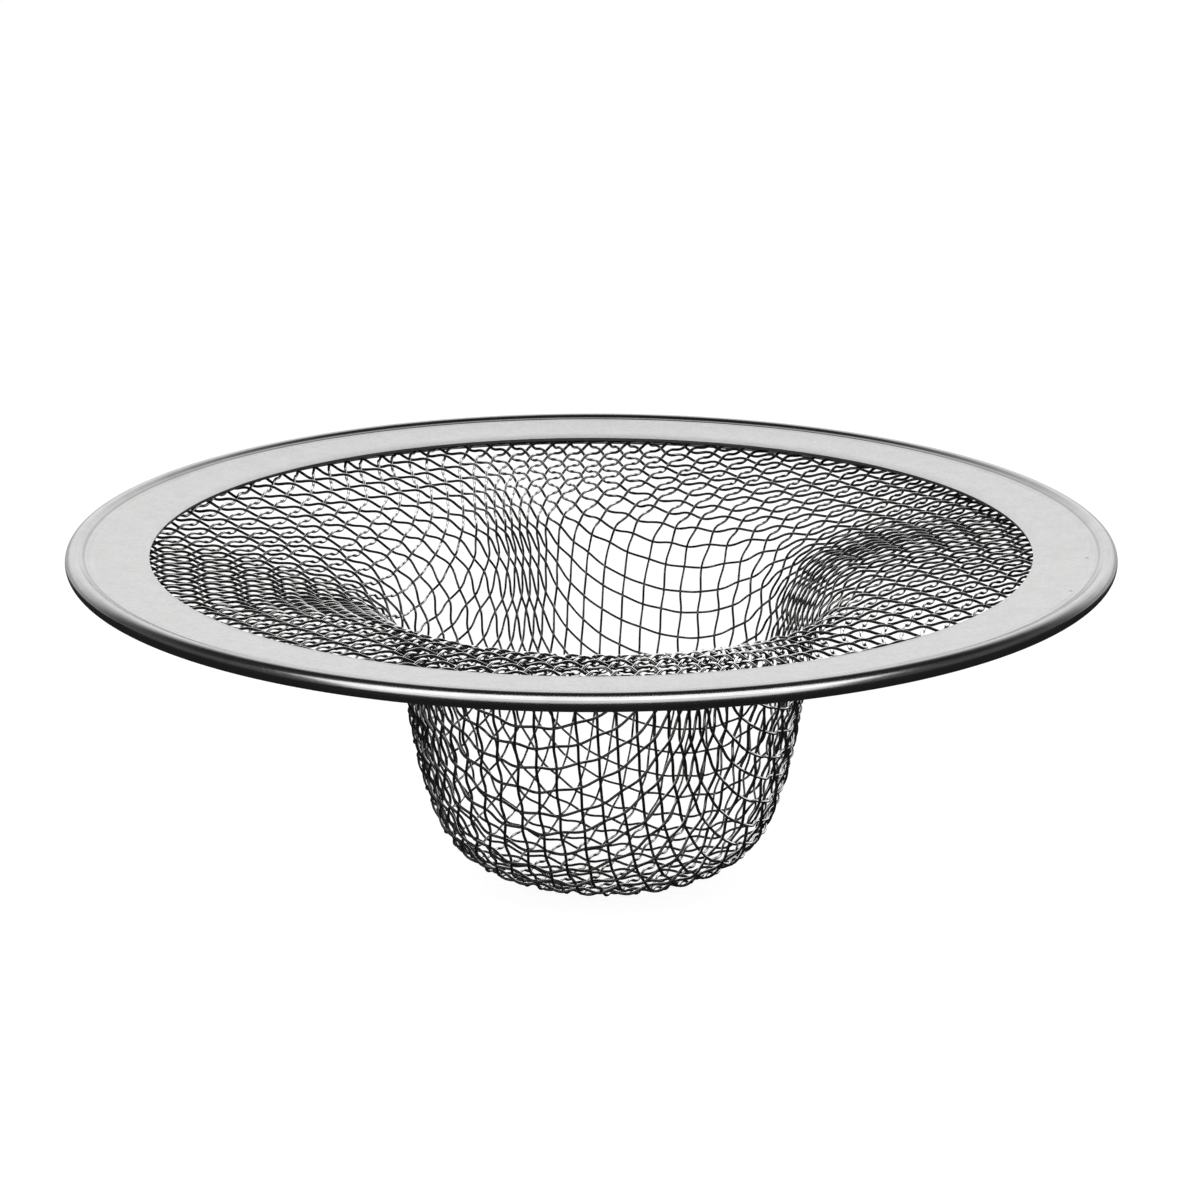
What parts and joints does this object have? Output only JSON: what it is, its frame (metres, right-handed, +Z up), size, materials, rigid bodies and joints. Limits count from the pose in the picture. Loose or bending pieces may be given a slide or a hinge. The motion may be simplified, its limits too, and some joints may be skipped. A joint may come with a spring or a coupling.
{
  "type": "mesh sink strainer",
  "caption": "Round sink strainer: woven steel wire drawn into a deep basket, with a shallow funnel and a flat folded rim that rests on the drain.",
  "frame": {"origin": "under the middle of the rim, level with the basket's lowest wires, on which the strainer stands", "axes": "+Z up, out of the basket's mouth and square to the rim; +X to the right and +Y away from the viewer in the picture"},
  "size_m": [0.114, 0.114, 0.0381],
  "materials": {
    "rim_steel": "satin flange with a polished rolled edge",
    "wire_steel": "drawn wire, fairly bright"
  },
  "bodies": {
    "root": {"folded_rim": "rim_steel", "warp_wire_01": "wire_steel", "warp_wire_02": "wire_steel", "warp_wire_03": "wire_steel", "warp_wire_04": "wire_steel", "warp_wire_05": "wire_steel", "warp_wire_06": "wire_steel", "warp_wire_07": "wire_steel", "warp_wire_08": "wire_steel", "warp_wire_09": "wire_steel", "warp_wire_10": "wire_steel", "warp_wire_11": "wire_steel", "warp_wire_12": "wire_steel", "warp_wire_13": "wire_steel", "warp_wire_14": "wire_steel", "warp_wire_15": "wire_steel", "warp_wire_16": "wire_steel", "warp_wire_17": "wire_steel", "warp_wire_18": "wire_steel", "warp_wire_19": "wire_steel", "warp_wire_20": "wire_steel", "warp_wire_21": "wire_steel", "warp_wire_22": "wire_steel", "warp_wire_23": "wire_steel", "warp_wire_24": "wire_steel", "warp_wire_25": "wire_steel", "warp_wire_26": "wire_steel", "warp_wire_27": "wire_steel", "weft_wire_01": "wire_steel", "weft_wire_02": "wire_steel", "weft_wire_03": "wire_steel", "weft_wire_04": "wire_steel", "weft_wire_05": "wire_steel", "weft_wire_06": "wire_steel", "weft_wire_07": "wire_steel", "weft_wire_08": "wire_steel", "weft_wire_09": "wire_steel", "weft_wire_10": "wire_steel", "weft_wire_11": "wire_steel", "weft_wire_12": "wire_steel", "weft_wire_13": "wire_steel", "weft_wire_14": "wire_steel", "weft_wire_15": "wire_steel", "weft_wire_16": "wire_steel", "weft_wire_17": "wire_steel", "weft_wire_18": "wire_steel", "weft_wire_19": "wire_steel", "weft_wire_20": "wire_steel", "weft_wire_21": "wire_steel", "weft_wire_22": "wire_steel", "weft_wire_23": "wire_steel", "weft_wire_24": "wire_steel", "weft_wire_25": "wire_steel", "weft_wire_26": "wire_steel", "weft_wire_27": "wire_steel"}
  },
  "joints": []
}
